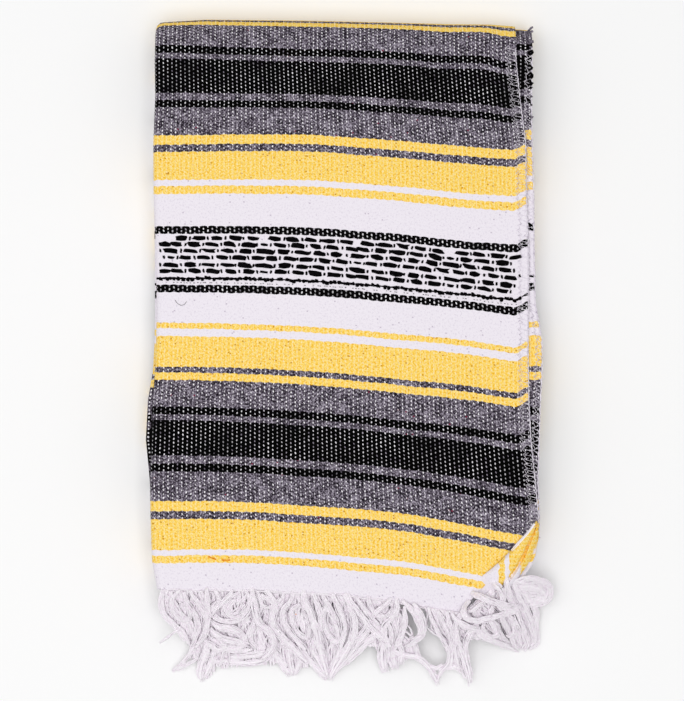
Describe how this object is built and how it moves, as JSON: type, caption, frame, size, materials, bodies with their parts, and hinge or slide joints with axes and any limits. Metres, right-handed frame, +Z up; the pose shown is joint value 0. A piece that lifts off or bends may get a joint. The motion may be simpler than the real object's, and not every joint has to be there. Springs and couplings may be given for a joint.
{
  "type": "folded mexican blanket",
  "caption": "Striped woven falsa blanket with knotted fringe, folded in four each way and lying flat, one near corner turned up.",
  "frame": {"origin": "under the middle of the folded blanket's box, on the surface it lies on", "axes": "+Y along the folded blanket from the fringe to the far fold, +Z up through the plies, +X towards the open side"},
  "size_m": [0.3511, 0.575, 0.047],
  "materials": {
    "cloth": "weft-faced plain weave of soft acrylic and cotton yarn, matt, in yellow, white, grey marl and black stripes",
    "fringe": "matt white twisted yarn"
  },
  "bodies": {
    "root": {"front_ply": "cloth", "second_ply": "cloth", "turned_corner": "cloth", "folded_core": "cloth", "fringe_front": "fringe", "fringe_middle": "fringe", "fringe_lower": "fringe"}
  },
  "joints": []
}
